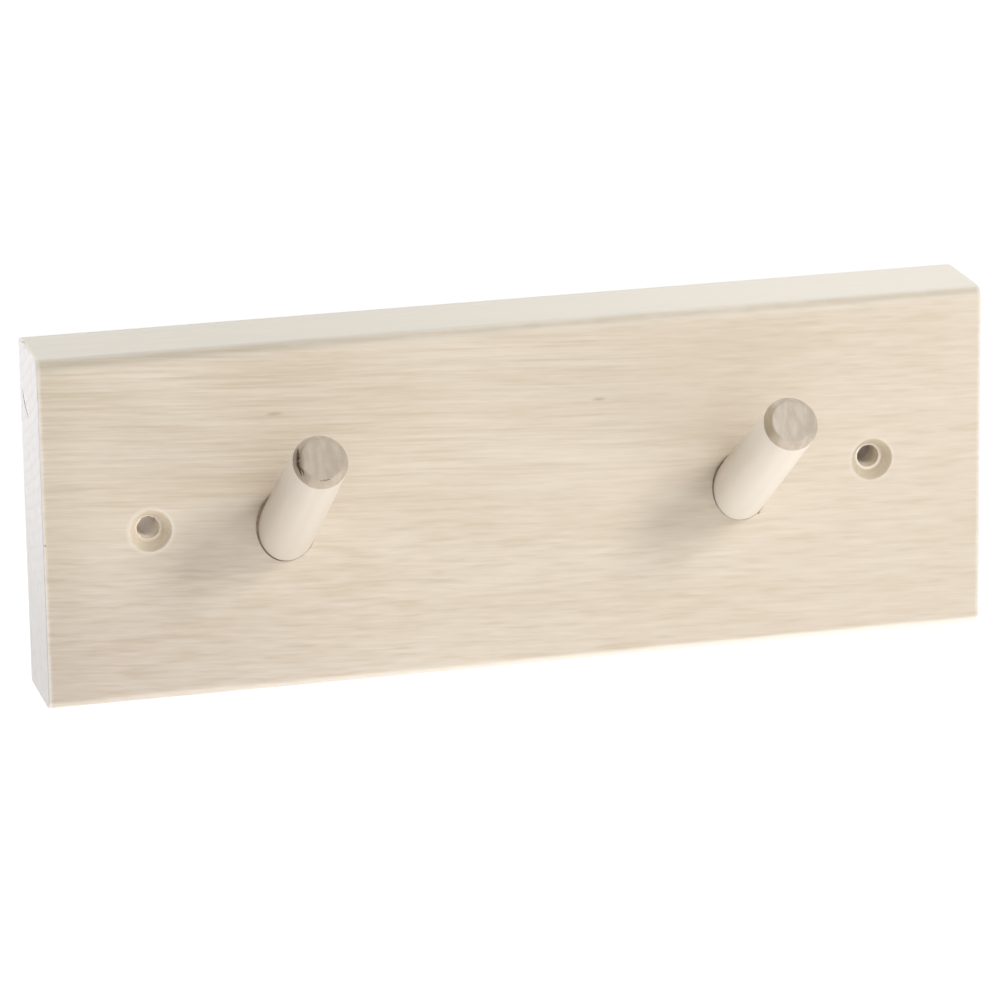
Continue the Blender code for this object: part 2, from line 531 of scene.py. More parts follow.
# %% Turn the pegs
PEG_FOOT = 8.00 * MM
PEG_TIP = 7.35 * MM
CHAMFER_IN = 1.8 * MM
CHAMFER_BACK = 2.2 * MM
FOOT_CHAMFER = 0.8 * MM
SOFTENED = 0.35 * MM
ARM_ROWS = 24
LATHE_WANDER = -0.03 * MM
SANDED_FROM = 0.3 * MM
SANDED_DEEP = 0.5 * MM
SANDED_PATCH = 5 * MM


def peg(side):
    """One peg, turned from its tip down to its foot. Local Z points out from the front face."""
    place, buried, arm = peg_lines[side]
    face = (PEG_TIP - CHAMFER_IN, arm)
    shoulder = (PEG_TIP, arm - CHAMFER_BACK)
    profile = [(0, arm)] + spaced((PEG_TIP * 0.25, arm), (face[0] - SOFTENED * 1.5, arm), 2)
    profile += rounded(face, (0, arm), shoulder, SOFTENED * 0.7)
    profile += rounded(shoulder, face, (PEG_FOOT, 0), SOFTENED)
    profile += spaced((PEG_TIP, arm - CHAMFER_BACK - 2 * SOFTENED), (PEG_FOOT, 0), ARM_ROWS)
    profile += [(PEG_FOOT, 0), (PEG_FOOT, buried + FOOT_CHAMFER), (PEG_FOOT - FOOT_CHAMFER, buried)]
    profile += [(0, buried)]
    bm = turned(profile)
    seed = 40.0 + SIDES.index(side)
    roughen(bm, LATHE_WANDER, waves=1.2, low=1 * MM, high=arm - CHAMFER_BACK, seed=seed)
    for vert in bm.verts:
        near_tip = vert.co.z - (arm - CHAMFER_BACK - SANDED_FROM)
        if near_tip > 0 and vert.co.xy.length > PEG_TIP * 0.5:
            sanding = noise.noise(vert.co / SANDED_PATCH + Vector((seed, 0, 0)))
            vert.co.z -= min(near_tip, SANDED_DEEP) * max(sanding, 0) * 0.5
    bmesh.ops.transform(bm, matrix=place, verts=bm.verts)
    return piece(f"{side}_turned_peg", bm)


pegs = {side: peg(side) for side in SIDES}
for made in pegs.values():
    print(f"{made.name}: {len(made.data.polygons)} faces")

# %% [markdown]
# ## Cracks in the left tip
#
# The left peg has split where its wood dried fastest. The main crack follows a ring at the left of the
# tip, a branch runs off its lower end, and a thin one lies under the face. Each is a blade set on the
# tip's own plane, so that it cuts straight in along the peg.

# %% Crack the left peg's tip
# Each crack: its points in mm on the tip, its width, its depth and its own noise.
TIP_CRACKS = {
    "main_crack": (
        ((-5.0, 5.3), (-5.75, 3.2), (-6.1, 1.2), (-6.15, -0.9), (-5.6, -3.6)), 0.80 * MM, 1.6 * MM, 0.0
    ),
    "side_crack": (((-5.9, -1.4), (-5.3, -2.6), (-5.0, -4.2)), 0.24 * MM, 0.9 * MM, 3.0),
    "low_crack": (((-2.4, -5.6), (-0.6, -5.75), (1.5, -5.45)), 0.32 * MM, 0.45 * MM, 8.0),
}

place, _, arm = peg_lines["left"]
tip_place = place @ Matrix.Translation((0, 0, arm))
cut_all(pegs["left"], [
    blade(name, route, width, depth, tip_place, wobble=0.6, seed=seed)
    for name, (route, width, depth, seed) in TIP_CRACKS.items()
])

# %% [markdown]
# ## Wood as a solid
#
# Real grain isn't a picture on the surface: it runs through the block, and each face shows a cut
# through it. So every pattern here reads the piece's own coordinates in three dimensions, stretched
# along the fibres. The same pattern gives streaks on the long faces and dots on the sawn ends.

# %% Node helpers
def fill(tree, made, inputs):
    """Fills each named input of a node with a value or a link."""
    for key, value in inputs.items():
        if isinstance(value, bpy.types.NodeSocket):
            tree.links.new(value, made.inputs[key])
        else:
            made.inputs[key].default_value = value


def node(tree, kind, inputs, **settings):
    """Adds a node, sets its options and fills its inputs."""
    made = tree.nodes.new(kind)
    for key, value in settings.items():
        setattr(made, key, value)
    fill(tree, made, inputs)
    return made


def maths(tree, operation, *values):
    return node(tree, "ShaderNodeMath", dict(enumerate(values)), operation=operation).outputs[0]


def vector_maths(tree, operation, *values):
    return node(tree, "ShaderNodeVectorMath", dict(enumerate(values)), operation=operation).outputs[0]


def product(tree, first, *others):
    """Multiplies masks or values together."""
    for other in others:
        first = maths(tree, "MULTIPLY", first, other)
    return first


def axes(tree, vector):
    """The X, Y and Z of a vector, as three values."""
    split = node(tree, "ShaderNodeSeparateXYZ", {0: vector})
    return split.outputs["X"], split.outputs["Y"], split.outputs["Z"]


def arrow(tree, x, y, z):
    return node(tree, "ShaderNodeCombineXYZ", {0: x, 1: y, 2: z}).outputs[0]


def square_length(tree, across, up):
    """The squared length of a flat arrow with these two sides."""
    return maths(tree, "ADD", product(tree, across, across), product(tree, up, up))


def ranged(tree, value, low, high, to_low=0.0, to_high=1.0, smooth=True):
    """Maps value from low..high to a new range, clamped."""
    made = node(
        tree, "ShaderNodeMapRange",
        {"Value": value, "From Min": low, "From Max": high, "To Min": to_low, "To Max": to_high},
        interpolation_type="SMOOTHSTEP" if smooth else "LINEAR",
    )
    return made.outputs["Result"]


def stretched_noise(tree, vector, along, across, detail=2.0, roughness=0.5):
    """Noise whose blobs are about along metres long and across metres wide, with fibres along X."""
    scaled = vector_maths(tree, "MULTIPLY", vector, (1 / along, 1 / across, 1 / across))
    made = node(
        tree, "ShaderNodeTexNoise",
        {"Vector": scaled, "Scale": 1.0, "Detail": detail, "Roughness": roughness},
    )
    return made.outputs[0]


# %% Group helpers
def new_group(name, inputs, outputs):
    """A shader node group. Inputs are (name, kind, default), and outputs are names of values."""
    tree = bpy.data.node_groups.new(name, "ShaderNodeTree")
    for socket_name, kind, default in inputs:
        made = tree.interface.new_socket(socket_name, in_out="INPUT", socket_type=f"NodeSocket{kind}")
        if default is not None:
            made.default_value = default
    for socket_name in outputs:
        tree.interface.new_socket(socket_name, in_out="OUTPUT", socket_type="NodeSocketFloat")
    return tree, tree.nodes.new("NodeGroupInput").outputs, tree.nodes.new("NodeGroupOutput")


def use_group(tree, group, inputs):
    return node(tree, "ShaderNodeGroup", inputs, node_tree=group).outputs


# %% [markdown]
# ### Straight grain
#
# A pale, fine-grained wood shows three sizes of streak: broad soft bands, pale and dark strokes about
# a centimetre long, and fine vessel lines a tenth of a millimetre wide. The group adds the first two as
# one tone, and gives the vessel lines as a mask, because they darken the wood and a finger can feel
# them. Slope and Curve lean the fibres, Wander makes them sway, and Long draws the strokes out.

# %% Grain group
STROKE_SHARE = 0.50
FINE_SHARE = 0.22
CLOUD_SHARE = 0.28

grain_tree, given, grain_out = new_group(
    "straight grain",
    [
        ("Vector", "Vector", None), ("Slope", "Float", 0.0), ("Curve", "Float", 0.0),
        ("Wander", "Float", 0.6 * MM), ("Long", "Float", 0.0),
    ],
    ["Tone", "Pale", "Dark", "Vessels"],
)
t = grain_tree
along, inward, up = axes(t, given["Vector"])
bend = stretched_noise(t, given["Vector"], 90 * MM, 30 * MM, detail=1.0)
sway = product(t, maths(t, "SUBTRACT", bend, 0.5), given["Wander"])
lean = product(t, along, maths(t, "MULTIPLY_ADD", along, given["Curve"], given["Slope"]))
fibres = arrow(t, along, inward, maths(t, "ADD", maths(t, "ADD", up, sway), lean))
short_strokes = stretched_noise(t, fibres, 10.5 * MM, 0.98 * MM, detail=1.0, roughness=0.45)
long_strokes = stretched_noise(t, fibres, 26 * MM, 0.92 * MM, detail=1.0, roughness=0.45)
longer = product(t, maths(t, "SUBTRACT", long_strokes, short_strokes), given["Long"])
strokes = maths(t, "ADD", short_strokes, longer)
streaks = stretched_noise(t, fibres, 21 * MM, 0.52 * MM, detail=1.0)
fine = stretched_noise(t, fibres, 6 * MM, 0.42 * MM, detail=1.0)
clouds = stretched_noise(t, fibres, 70 * MM, 12 * MM)
vessels = stretched_noise(t, fibres, 4 * MM, 0.13 * MM, detail=1.0)
tone = product(t, strokes, STROKE_SHARE)
tone = maths(t, "MULTIPLY_ADD", fine, FINE_SHARE, tone)
tone = maths(t, "MULTIPLY_ADD", clouds, CLOUD_SHARE, tone)
fill(t, grain_out, {
    "Tone": tone,
    "Pale": product(t, ranged(t, streaks, 0.60, 0.76), ranged(t, clouds, 0.35, 0.62)),
    "Dark": ranged(t, strokes, 0.42, 0.26),
    "Vessels": ranged(t, vessels, 0.64, 0.78),
})
print("straight grain:", len(t.nodes), "nodes")

# %% [markdown]
# ### End grain
#
# Sawn across, the fibres are seen end on: fine open pores, faint rings, and rays that fan out from the
# pith. So the group works from the distance and the angle to the pith, which lies well outside a board
# like this one and just outside a peg.

# %% End grain group
RING_WOBBLE = 2.5 * MM
RAYS_PER_RADIAN = 90.0
RAY_CHANGES_PER_METRE = 20.0
PORE_GAP = 0.28 * MM

end_tree, given, end_out = new_group(
    "end grain",
    [("Vector", "Vector", None), ("Pith", "Vector", (0, 0, 0)), ("Ring Width", "Float", 3 * MM)],
    ["Tone", "Pores", "Rings", "Rays"],
)
t = end_tree
flat = vector_maths(t, "MULTIPLY", given["Vector"], (0, 1, 1))
from_pith = vector_maths(t, "SUBTRACT", flat, given["Pith"])
radius = node(t, "ShaderNodeVectorMath", {0: from_pith}, operation="LENGTH").outputs["Value"]
warp = stretched_noise(t, flat, 20 * MM, 12 * MM)
turns = maths(t, "DIVIDE", maths(t, "MULTIPLY_ADD", warp, RING_WOBBLE, radius), given["Ring Width"])
_, inward, up = axes(t, from_pith)
angle = maths(t, "ARCTAN2", up, inward)
ray_place = arrow(t, product(t, angle, RAYS_PER_RADIAN), product(t, radius, RAY_CHANGES_PER_METRE), 0.0)
rays = node(t, "ShaderNodeTexNoise", {"Vector": ray_place, "Scale": 1.0, "Detail": 3.0}).outputs[0]
pore_place = vector_maths(t, "MULTIPLY", flat, (1 / PORE_GAP,) * 3)
pore = node(t, "ShaderNodeTexVoronoi", {"Vector": pore_place, "Scale": 1.0}).outputs["Distance"]
blotch = stretched_noise(t, flat, 10 * MM, 3.5 * MM, detail=3.0)
fill(t, end_out, {
    "Tone": maths(t, "ADD", product(t, blotch, 0.6), product(t, rays, 0.4)),
    "Pores": ranged(t, pore, 0.30, 0.12),
    "Rings": ranged(t, maths(t, "FRACT", turns), 0.55, 0.97),
    "Rays": rays,
})
print("end grain:", len(t.nodes), "nodes")

# %% [markdown]
# ### Painted light on the edges
#
# The board's edges catch light and shade unlike its face, and this is painted into their colour:
# highlights by the ends and on the lower round, shade and light on the upper round, and a shadow line
# under its top. It could be painted by hand, but its place is known: so close to an end, or so high on
# the round. The group turns those distances into masks, with a ragged line.

# %% Edge light and shade group
RAGGED_LINE = 0.8 * MM

edge_light_tree, given, edge_light_out = new_group(
    "eased arris",
    [("Vector", "Vector", None), ("Width", "Float", 1.8 * MM)],
    ["End Highlight", "Upper Shade And Light", "Lower Highlight", "Shadow Line"],
)
t = edge_light_tree
along, inward, up = axes(t, given["Vector"])
ragged = product(t, stretched_noise(t, given["Vector"], 12 * MM, 2 * MM, detail=3.0), RAGGED_LINE)
from_end = maths(t, "SUBTRACT", board_size.x / 2, maths(t, "ABSOLUTE", along))
height = maths(t, "ADD", up, ragged)
near_front = ranged(t, inward, FRONT + 3.4 * MM, FRONT + 2.2 * MM)
upper = ranged(t, height, board_high.z - 3.6 * MM, board_high.z - 1.2 * MM)
shadow_line = ranged(t, height, board_high.z - 1.8 * MM, board_high.z - 0.8 * MM)
# Masks for painted highlights, painted shade and a painted shadow line on the edges.
fill(t, edge_light_out, {
    "End Highlight": ranged(t, maths(t, "ADD", from_end, ragged), given["Width"], 0.3 * MM),
    "Upper Shade And Light": product(t, upper, near_front),
    "Lower Highlight": ranged(t, height, board_low.z + 3.2 * MM, board_low.z + 1.8 * MM),
    "Shadow Line": product(t, shadow_line, near_front),
})
print("eased arris:", len(t.nodes), "nodes")


# %% [markdown]
# ## Finishes
#
# Each finish is a Principled shader fed by these groups. Untreated wood scatters nearly all its
# light, so it is rough, with only a weak sheen where it is planed. Colours are the wood's own, and
# each mark is laid over them as a tint with a mask.

# %% Material helpers
MIX_FIRST = 6
MIX_SECOND = 7
MIX_RESULT = 2
WOOD_SPECULAR = 0.35


def wood_material(name, roughness):
    """A new finish. The plain roughness is what shows where its pattern isn't read."""
    material = bpy.data.materials.new(name)
    material.use_nodes = True
    tree = material.node_tree
    shader = tree.nodes["Principled BSDF"]
    fill(tree, shader, {"Roughness": roughness, "Specular IOR Level": WOOD_SPECULAR})
    return material, tree, shader


def mixed(tree, factor, first, second, blend="MIX"):
    """Mixes two colours. Each is a socket or an (r, g, b) triple."""
    inputs = {0: factor}
    for key, colour in ((MIX_FIRST, first), (MIX_SECOND, second)):
        inputs[key] = colour if isinstance(colour, bpy.types.NodeSocket) else (*colour, 1.0)
    return node(tree, "ShaderNodeMix", inputs, data_type="RGBA", blend_type=blend).outputs[MIX_RESULT]


def tinted(tree, colour, mask, strength, tint):
    """Lays a tint over a colour where the mask is 1, as strongly as asked."""
    return mixed(tree, product(tree, mask, strength), colour, tint)


def darkened(tree, colour, mask, tint):
    """Multiplies a colour by a tint where the mask is 1, as dirt or shade does."""
    return mixed(tree, mask, colour, tint, "MULTIPLY")


def bumped(tree, shader, height, distance, strength):
    made = node(tree, "ShaderNodeBump", {"Height": height, "Distance": distance, "Strength": strength})
    tree.links.new(made.outputs["Normal"], shader.inputs["Normal"])


def piece_coordinates(tree):
    return node(tree, "ShaderNodeTexCoord", {}).outputs["Object"]


# %% [markdown]
# ### Planed long grain
#
# The planer leaves the long faces smooth enough to show every stroke of the grain. It is bolder at the
# left and longest in the calm wood of the upper middle. Two pin marks and a pale halo round each screw
# hole, where the bit pressed the fibres, lie on the front only, so a mask of depth keeps them there.

# %% Planed long grain of the board
GRAIN = {"Slope": 0.050, "Curve": -0.062, "Wander": 2 * MM}
# Each pin mark: place along the board, height, half length and half height, all in mm.
PIN_MARKS = ((22.1, 25.4, 1.5, 0.40), (-66.9, 28.8, 1.8, 0.45))
HALO_STRENGTH = {"left": 0.45, "right": 0.22}
WOOD_DARK = (0.636, 0.536, 0.412)
WOOD_PALE = (0.749, 0.662, 0.548)

planed, t, shader = wood_material("planed long grain", 0.62)
where = piece_coordinates(t)
long_way, inward, up_way = axes(t, where)
calm = product(t, ranged(t, up_way, -12 * MM, 12 * MM), ranged(t, long_way, 70 * MM, 20 * MM))
grain = use_group(t, grain_tree, {"Vector": where, "Long": calm, **GRAIN})
bold = maths(t, "MULTIPLY_ADD", calm, 0.17, ranged(t, long_way, -120 * MM, 100 * MM, 1.08, 0.70))
tone = maths(t, "MULTIPLY_ADD", maths(t, "SUBTRACT", grain["Tone"], 0.5), bold, 0.5)
colour = mixed(t, ranged(t, tone, 0.32, 0.68, smooth=False), WOOD_DARK, WOOD_PALE)
colour = tinted(t, colour, product(t, grain["Pale"], bold), 0.42, (0.800, 0.715, 0.600))
colour = tinted(t, colour, product(t, grain["Dark"], bold), 0.28, (0.610, 0.510, 0.390))
colour = tinted(t, colour, grain["Vessels"], 0.12, (0.520, 0.410, 0.290))
on_front = ranged(t, inward, FRONT + 2 * MM, FRONT + 1 * MM)
for x, z, half_length, half_height in PIN_MARKS:
    dx = maths(t, "DIVIDE", maths(t, "SUBTRACT", long_way, x * MM), half_length * MM)
    dz = maths(t, "DIVIDE", maths(t, "SUBTRACT", up_way, z * MM), half_height * MM)
    away = maths(t, "SQRT", square_length(t, dx, dz))
    pin = product(t, ranged(t, away, 1.9, 0.1), on_front)
    colour = tinted(t, colour, pin, 0.52, (0.40, 0.31, 0.21))
for side in SIDES:
    dx = maths(t, "SUBTRACT", long_way, hole_centres[side].x)
    dz = maths(t, "SUBTRACT", up_way, hole_centres[side].z)
    away = maths(t, "SQRT", square_length(t, dx, dz))
    halo = product(t, ranged(t, away, RIM + 1.3 * MM, RIM + 0.3 * MM), on_front)
    colour = tinted(t, colour, halo, HALO_STRENGTH[side], (0.830, 0.755, 0.650))
print("planed wood:", len(PIN_MARKS), "pin marks and", len(hole_centres), "halos")

# %% [markdown]
# ### Painted light and shade along the plank
#
# The plank is darker and yellower by the left end, painted shade where the light falls off, and darker
# at the lower left, a painted shadow where the left peg's shadow falls. Its upper round goes from
# painted shade, a dull brown at the left, to a painted highlight, a fresh cream at the right, with a
# broken painted shadow line along it. The lower round gets a painted highlight, the top face a greyer
# painted sheen that darkens to the left, and the underside painted shade. The back isn't planed, so it
# gets the faint straight lines of a band saw, and painted shade that tones down the back light.

# %% Painted light and shade along the plank, its edges and its back
# Painted shadow: darker at the lower left, where the left peg's shadow falls.
low_left_shadow = product(t, ranged(t, long_way, -20 * MM, -120 * MM), ranged(t, up_way, 10 * MM, -40 * MM))
colour = darkened(t, colour, low_left_shadow, (0.900, 0.880, 0.900))
# Painted shade: darker and yellower by the left end, where the light falls off.
left_end_falloff = ranged(t, long_way, -112 * MM, -129 * MM)
colour = darkened(t, colour, left_end_falloff, (0.930, 0.930, 0.915))
edge_light = use_group(t, edge_light_tree, {"Vector": where})
# Painted shade and highlight on the upper round: dull brown at the left, cream at the right.
upper_light_ramp = ranged(t, long_way, -120 * MM, 0.0)
upper_shade_and_light_colour = mixed(t, upper_light_ramp, (0.540, 0.465, 0.370), (0.830, 0.755, 0.640))
colour = tinted(t, colour, edge_light["Upper Shade And Light"], 0.42, upper_shade_and_light_colour)
# Painted shadow line: a broken darker band just below the top of the upper round.
shadow_dashes = ranged(t, stretched_noise(t, where, 14 * MM, 10 * MM), 0.38, 0.58, 0.35, 1.0)
shadow_line = product(t, edge_light["Shadow Line"], shadow_dashes, ranged(t, long_way, -110 * MM, -50 * MM))
colour = darkened(t, colour, shadow_line, (0.905, 0.900, 0.885))
# Painted highlight on the lower round, as if lit from below, stronger to the right.
lower_highlight_strength = ranged(t, long_way, -130 * MM, 80 * MM, 0.22, 0.80)
colour = tinted(t, colour, edge_light["Lower Highlight"], lower_highlight_strength, (0.920, 0.855, 0.770))
# Painted sheen on the top face, greyer, with painted light falloff that darkens it to the left.
top_face = ranged(t, up_way, board_high.z - 0.60 * MM, board_high.z - 0.03 * MM)
top_falloff_ramp = ranged(t, long_way, -130 * MM, 130 * MM)
top_sheen_colour = mixed(t, top_falloff_ramp, (0.570, 0.540, 0.478), (0.750, 0.710, 0.640))
colour = tinted(t, colour, top_face, 0.85, top_sheen_colour)
# Painted highlight where the eased ends catch light, weaker on the top face.
end_highlight_strength = ranged(t, top_face, 0.0, 1.0, 0.75, 0.30)
colour = tinted(t, colour, edge_light["End Highlight"], end_highlight_strength, (0.900, 0.840, 0.765))
# Painted shade: the bottom face darker.
underside = ranged(t, up_way, board_low.z + 0.10 * MM, board_low.z + 0.01 * MM)
colour = darkened(t, colour, underside, (0.780, 0.750, 0.720))
# Painted shade on the back that tones down the back light, with the band saw's real lines in it.
sawn_shaded_back = ranged(t, inward, board_high.y - 0.08 * MM, board_high.y - 0.01 * MM)
saw_lines = stretched_noise(t, arrow(t, up_way, long_way, 0.0), 120 * MM, 1.2 * MM)
back_shade_and_saw_tint = mixed(t, ranged(t, saw_lines, 0.35, 0.65), (0.765, 0.728, 0.690), (0.805, 0.772, 0.738))
colour = darkened(t, colour, sawn_shaded_back, back_shade_and_saw_tint)
fill(t, shader, {"Base Color": colour, "Roughness": ranged(t, grain["Tone"], 0.3, 0.7, 0.70, 0.56)})
relief = maths(t, "SUBTRACT", grain["Tone"], product(t, grain["Vessels"], 0.4))
relief = maths(t, "ADD", relief, product(t, sawn_shaded_back, saw_lines))
bumped(t, shader, relief, 0.05 * MM, 0.7)
print("planed wood:", len(t.nodes), "nodes")

# %% [markdown]
# ### Sawn ends
#
# A cross-cut saw leaves the board's ends dull and greyer than its face. The lower part is darker,
# painted shade where the light from the left falls off. The saw's own fine lines roughen the surface,
# so they go into its roughness and its bump.

# %% Sawn end grain of the board
BOARD_PITH = (0, 35 * MM, 130 * MM)
BOARD_RING = 3.4 * MM

sawn, t, shader = wood_material("sawn end grain", 0.75)
where = piece_coordinates(t)
ends = use_group(t, end_tree, {"Vector": where, "Pith": BOARD_PITH, "Ring Width": BOARD_RING})
kerf = stretched_noise(t, where, 30 * MM, 0.6 * MM)
_, _, up_way = axes(t, where)
colour = mixed(t, ranged(t, ends["Tone"], 0.35, 0.65), (0.825, 0.793, 0.786), (0.885, 0.852, 0.846))
# Painted shade: the end darker towards the bottom.
colour = darkened(t, colour, ranged(t, up_way, 35 * MM, -45 * MM), (0.820, 0.826, 0.805))
colour = tinted(t, colour, ends["Rings"], 0.34, (0.720, 0.696, 0.660))
colour = tinted(t, colour, ends["Pores"], 0.24, (0.560, 0.530, 0.490))
fill(t, shader, {"Base Color": colour, "Roughness": ranged(t, kerf, 0.3, 0.7, 0.82, 0.68)})
relief = maths(t, "SUBTRACT", product(t, kerf, 0.6), product(t, ends["Pores"], 0.5))
bumped(t, shader, relief, 0.08 * MM, 0.8)
print("sawn ends:", len(t.nodes), "nodes")

# %% [markdown]
# ### Drilled wood
#
# Freshly drilled walls are a warmer colour than the aged face, and the right hole is darker. Deep in
# the bores a paler colour is painted light, and in the right bore a darker step from about 12 mm deep
# is a painted shadow edge. The ring of raised fibres between cone and bore gets a painted highlight.
# All of it goes by the depth below the front face.

# %% Drilled wood: countersinks and bores
drilled, t, shader = wood_material("drilled wood", 0.80)
where = piece_coordinates(t)
grain = use_group(t, grain_tree, {"Vector": where, **GRAIN})
long_way, inward, _ = axes(t, where)
depth = maths(t, "SUBTRACT", inward, FRONT)
torn = stretched_noise(t, where, 1.2 * MM, 0.4 * MM, detail=3.0)
right_hole = ranged(t, long_way, 50 * MM, 70 * MM)
colour = mixed(t, ranged(t, grain["Tone"], 0.32, 0.68), (0.690, 0.590, 0.460), (0.770, 0.670, 0.530))
colour = darkened(t, colour, right_hole, (0.870, 0.865, 0.850))
# Painted highlight on the ring of raised fibres.
ring = product(t, ranged(t, depth, 2.9 * MM, 3.4 * MM), ranged(t, depth, 4.6 * MM, 3.9 * MM))
ring_highlight_strength = ranged(t, right_hole, 0.0, 1.0, 0.60, 0.85)
colour = tinted(t, colour, ring, ring_highlight_strength, (0.900, 0.830, 0.730))
colour = tinted(t, colour, ranged(t, depth, 0.4 * MM, 0.0), 0.5, (0.860, 0.790, 0.680))
# Painted light: the deep bore walls are paler, palest in the left hole.
deep = ranged(t, maths(t, "MULTIPLY_ADD", torn, 1 * MM, depth), 4.6 * MM, 6.0 * MM)
painted_light_bore_colour = mixed(t, right_hole, (0.930, 0.860, 0.780), (0.820, 0.740, 0.630))
colour = mixed(t, deep, colour, painted_light_bore_colour)
# Painted shadow edge: the right bore darker from about 12 mm deep.
bore_shadow_edge = product(t, ranged(t, depth, 11.2 * MM, 12.2 * MM), right_hole)
colour = mixed(t, bore_shadow_edge, colour, (0.640, 0.560, 0.480))
fill(t, shader, {"Base Color": colour, "Roughness": ranged(t, torn, 0.3, 0.7, 0.90, 0.70)})
bumped(t, shader, torn, 0.10 * MM, 0.7)
print("drilled wood:", len(t.nodes), "nodes")

# %% [markdown]
# ### Dried glue and cracks
#
# Wood glue dries to brown lumps, smoother than the wood round it. The walls of a crack are nearly
# black, painted shade of its deep narrow gap. Both are small, so one noise each is enough.

# %% Dried glue in a socket, and the walls of a crack
glue, t, shader = wood_material("dried glue", 0.55)
lumps = stretched_noise(t, piece_coordinates(t), 1.6 * MM, 0.9 * MM, detail=3.0)
colour = mixed(t, ranged(t, lumps, 0.35, 0.65), (0.520, 0.405, 0.295), (0.660, 0.540, 0.420))
fill(t, shader, {"Base Color": colour, "Roughness": ranged(t, lumps, 0.3, 0.7, 0.65, 0.45)})
bumped(t, shader, lumps, 0.20 * MM, 0.8)

# Painted shade: the crack walls nearly black, for the shade deep in a narrow crack.
crack_shade, t, shader = wood_material("painted crack shade", 0.90)
crack_shade_noise = stretched_noise(t, piece_coordinates(t), 0.8 * MM, 0.5 * MM, detail=3.0)
colour = mixed(t, crack_shade_noise, (0.110, 0.075, 0.050), (0.260, 0.190, 0.135))
fill(t, shader, {"Base Color": colour, "Roughness": ranged(t, crack_shade_noise, 0.3, 0.7, 0.95, 0.80)})
print("small finishes:", glue.name, "and", crack_shade.name)


# %% [markdown]
# ### Sanded pegs
#
# A dowel's side is sanded smooth and shows only faint stripes. Its fibres run along the peg and not
# along the board, so a Mapping node first turns the coordinates into the peg's own line. The right peg
# is the paler of the two.

# %% Sanded side of a peg
def peg_coordinates(tree, place):
    """The piece's coordinates turned so that X runs along the peg from the front face."""
    tilt = math.asin(place.col[2].z)
    turned_to_peg = {
        "Vector": piece_coordinates(tree), "Location": place.translation,
        "Rotation": Euler((0, -tilt, -math.pi / 2)),
    }
    return node(tree, "ShaderNodeMapping", turned_to_peg, vector_type="TEXTURE").outputs[0]


def peg_side(side, shade, light):
    material, t, shader = wood_material(f"sanded {side} peg", 0.50)
    along = peg_coordinates(t, peg_lines[side][0])
    grain = use_group(t, grain_tree, {"Vector": along, "Wander": 1 * MM})
    stripes = stretched_noise(t, along, 120 * MM, 4 * MM, detail=1.0)
    colour = mixed(t, ranged(t, stripes, 0.35, 0.65), shade, light)
    colour = tinted(t, colour, grain["Dark"], 0.06, (0.640, 0.550, 0.440))
    colour = tinted(t, colour, grain["Vessels"], 0.08, (0.600, 0.490, 0.360))
    fill(t, shader, {"Base Color": colour, "Roughness": ranged(t, grain["Tone"], 0.3, 0.7, 0.56, 0.46)})
    bumped(t, shader, grain["Tone"], 0.03 * MM, 0.5)
    return material


# %% [markdown]
# ### Grey ends of the pegs
#
# The open pores of end grain hold dirt, so the tips are greyer than the sides, with upright smears.
# The chamfer is a little darker all round, less so underneath, and darkest at the left, where the
# extra darkness is painted shade on the peg's shaded side. The crack in the left tip has stained the
# wood beside it. All of it reads the peg's own coordinates.

# %% Grey end of a peg
STAIN_PLACE = (-5.8 * MM, 0.8 * MM)
STAIN_SIZE = (1.5 * MM, 4.2 * MM)
PEG_RING = 2.6 * MM


